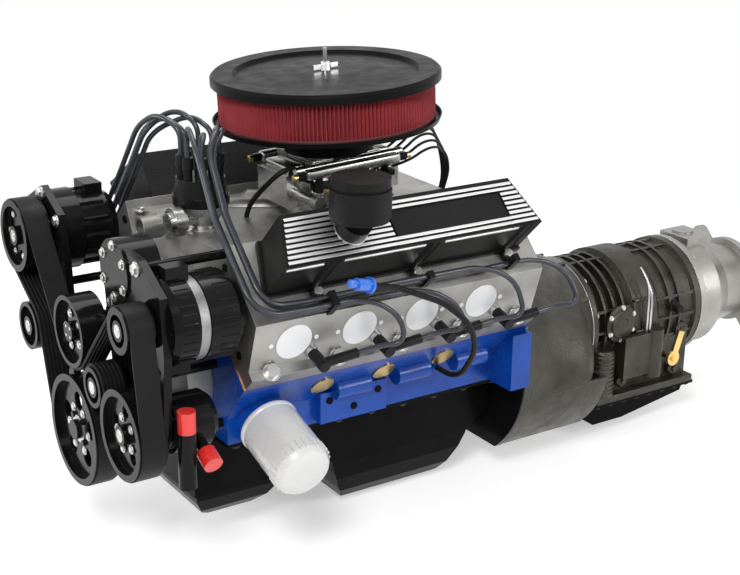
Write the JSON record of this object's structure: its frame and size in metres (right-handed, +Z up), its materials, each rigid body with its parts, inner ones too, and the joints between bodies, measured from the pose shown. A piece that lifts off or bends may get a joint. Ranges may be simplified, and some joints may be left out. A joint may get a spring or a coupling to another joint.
{
  "type": "v8 engine with transmission",
  "caption": "Complete eight-cylinder vee engine with belt drive, air cleaner, ignition leads and an automatic transmission that ends in a transfer-case adapter.",
  "frame": {"origin": "centre of the transfer-case adapter's rear face, on the crank axis", "axes": "+X rearward along the crank axis, +Y to the right-hand bank, +Z up"},
  "size_m": [1.377, 0.5764, 0.7368],
  "materials": {
    "block_blue": "gloss",
    "cast_grey": "cast",
    "machined_steel": "machined",
    "bright_aluminium": "cast satin",
    "gloss_black": "gloss",
    "satin_black": "satin",
    "crinkle_black": "crinkle",
    "filter_white": "gloss",
    "brass": "satin",
    "trans_grey": "cast dark",
    "copper": "satin copper",
    "filter_red": "pleated",
    "chrome": "polished",
    "cover_white": "matt",
    "cap_black": "satin",
    "lead_grey": "satin",
    "boot_black": "satin",
    "handle_blue": "gloss",
    "belt_rubber": "matt",
    "cap_red": "gloss"
  },
  "bodies": {
    "engine": {"engine_block": "block_blue", "main_bearing_caps": "cast_grey", "pistons_and_rods": "machined_steel", "timing_chain": "machined_steel", "timing_cover": "bright_aluminium", "oil_pump": "cast_grey", "oil_pan": "gloss_black", "oil_filter": "filter_white", "core_plugs": "brass", "engine_plate": "satin_black", "bellhousing": "trans_grey", "head_gaskets": "copper", "head_and_cover_bolts": "machined_steel", "valve_gear": "machined_steel", "cylinder_head_left": "bright_aluminium", "cylinder_head_right": "bright_aluminium", "valve_cover_left": "crinkle_black", "valve_cover_right": "crinkle_black", "intake_manifold": "bright_aluminium", "carburettor": "bright_aluminium", "air_cleaner_base": "satin_black", "air_filter": "filter_red", "port_covers": "cover_white", "spark_plugs": "machined_steel", "distributor_body": "bright_aluminium", "distributor_cap": "cap_black", "plug_wires": "lead_grey", "wire_boots_and_combs": "boot_black", "dipstick_tube": "satin_black", "serpentine_belt": "belt_rubber", "water_pump": "gloss_black", "alternator": "gloss_black", "ac_compressor": "gloss_black", "power_steering_pump": "gloss_black", "hose_caps": "cap_red", "accessory_bracket_left": "gloss_black", "accessory_bracket_right": "gloss_black", "transmission_case": "trans_grey", "transmission_pan": "satin_black", "transfer_adapter": "bright_aluminium"},
    "crank": {"crankshaft": "machined_steel", "crank_pulley": "gloss_black", "torque_converter": "machined_steel"},
    "cam": {"camshaft": "machined_steel"},
    "rotor": {"distributor_rotor": "machined_steel"},
    "steering_wheel_pulley": {"power_steering_pulley": "gloss_black"},
    "alternator_wheel": {"alternator_pulley": "gloss_black"},
    "cooling_wheel": {"ac_clutch_pulley": "gloss_black"},
    "pump_wheel": {"water_pump_pulley": "gloss_black"},
    "idler_wheel": {"idler_pulley": "gloss_black"},
    "tensioner_wheel": {"tensioner_pulley": "gloss_black"},
    "throttle_front": {"throttle_plates_front": "machined_steel"},
    "throttle_rear": {"throttle_plates_rear": "machined_steel"},
    "lever": {"shift_lever": "brass"},
    "output": {"output_shaft": "machined_steel"},
    "arm": {"tensioner_arm": "satin_black"},
    "nut": {"wing_nut": "chrome"},
    "lid": {"air_cleaner_lid": "satin_black"},
    "vent": {"breather": "crinkle_black"},
    "stick": {"dipstick": "handle_blue"}
  },
  "joints": [
    {"name": "crank_spin", "type": "hinge", "parent": "engine", "child": "crank", "pos_m": [-0.935, 0, 0], "axis": [1, 0, 0], "continuous": true, "deforming": ["pistons_and_rods"]},
    {"name": "cam_spin", "type": "hinge", "parent": "engine", "child": "cam", "pos_m": [-0.935, 0, 0.115], "axis": [1, 0, 0], "continuous": true},
    {"name": "rotor_spin", "type": "hinge", "parent": "engine", "child": "rotor", "pos_m": [-1.157, 0, 0.32], "axis": [0, 0, 1], "continuous": true},
    {"name": "steering_pulley_spin", "type": "hinge", "parent": "engine", "child": "steering_wheel_pulley", "pos_m": [-1.356, -0.171, 0.058], "axis": [1, 0, 0], "continuous": true},
    {"name": "alternator_spin", "type": "hinge", "parent": "engine", "child": "alternator_wheel", "pos_m": [-1.356, -0.178, 0.215], "axis": [1, 0, 0], "continuous": true},
    {"name": "ac_pulley_spin", "type": "hinge", "parent": "engine", "child": "cooling_wheel", "pos_m": [-1.356, 0.205, 0.247], "axis": [1, 0, 0], "continuous": true},
    {"name": "water_pump_spin", "type": "hinge", "parent": "engine", "child": "pump_wheel", "pos_m": [-1.356, 0, 0.156], "axis": [1, 0, 0], "continuous": true},
    {"name": "idler_spin", "type": "hinge", "parent": "engine", "child": "idler_wheel", "pos_m": [-1.356, -0.08, 0.097], "axis": [1, 0, 0], "continuous": true},
    {"name": "arm_swing", "type": "hinge", "parent": "engine", "child": "arm", "pos_m": [-1.332, 0.147, 0.0527], "axis": [1, 0, 0], "range_deg": [-4, 0]},
    {"name": "tensioner_spin", "type": "hinge", "parent": "arm", "child": "tensioner_wheel", "pos_m": [-1.356, 0.165, 0.112], "axis": [1, 0, 0], "continuous": true},
    {"name": "lever_swing", "type": "hinge", "parent": "engine", "child": "lever", "pos_m": [-0.282, -0.12, -0.064], "axis": [0, 1, 0], "range_deg": [-30, 30]},
    {"name": "output_spin", "type": "hinge", "parent": "engine", "child": "output", "pos_m": [-0.175, 0, 0], "axis": [1, 0, 0], "continuous": true},
    {"name": "throttle_front_turn", "type": "hinge", "parent": "engine", "child": "throttle_front", "pos_m": [-0.96211, 0, 0.32029], "axis": [0, 1, 0], "range_deg": [0, 80]},
    {"name": "throttle_rear_turn", "type": "hinge", "parent": "engine", "child": "throttle_rear", "pos_m": [-0.89819, 0, 0.32365], "axis": [0, 1, 0], "range_deg": [0, 80]},
    {"name": "wing_nut_lift", "type": "slide", "parent": "engine", "child": "nut", "axis": [-0.0523, 0, 0.9986], "range_m": [0, 0.13]},
    {"name": "lid_lift", "type": "slide", "parent": "engine", "child": "lid", "axis": [-0.0523, 0, 0.9986], "range_m": [0, 0.1]},
    {"name": "breather_lift", "type": "slide", "parent": "engine", "child": "vent", "axis": [0, -0.7071, 0.7071], "range_m": [0, 0.04]},
    {"name": "dipstick_pull", "type": "slide", "parent": "engine", "child": "stick", "axis": [-0.9307, -0.2246, 0.2888], "range_m": [0, 0.08]}
  ],
  "couplings": [
    {"joint": "cam_spin", "follows": "crank_spin", "ratio": 0.5},
    {"joint": "rotor_spin", "follows": "crank_spin", "ratio": 0.5},
    {"joint": "steering_pulley_spin", "follows": "crank_spin", "ratio": 1.3016},
    {"joint": "alternator_spin", "follows": "crank_spin", "ratio": 2.7333},
    {"joint": "ac_pulley_spin", "follows": "crank_spin", "ratio": 1.5472},
    {"joint": "water_pump_spin", "follows": "crank_spin", "ratio": -1.5185},
    {"joint": "idler_spin", "follows": "crank_spin", "ratio": -2.7333},
    {"joint": "tensioner_spin", "follows": "crank_spin", "ratio": -2.1579},
    {"joint": "throttle_rear_turn", "follows": "throttle_front_turn", "ratio": 1},
    {"joint": "lid_lift", "follows": "wing_nut_lift", "ratio": 0.76923}
  ]
}
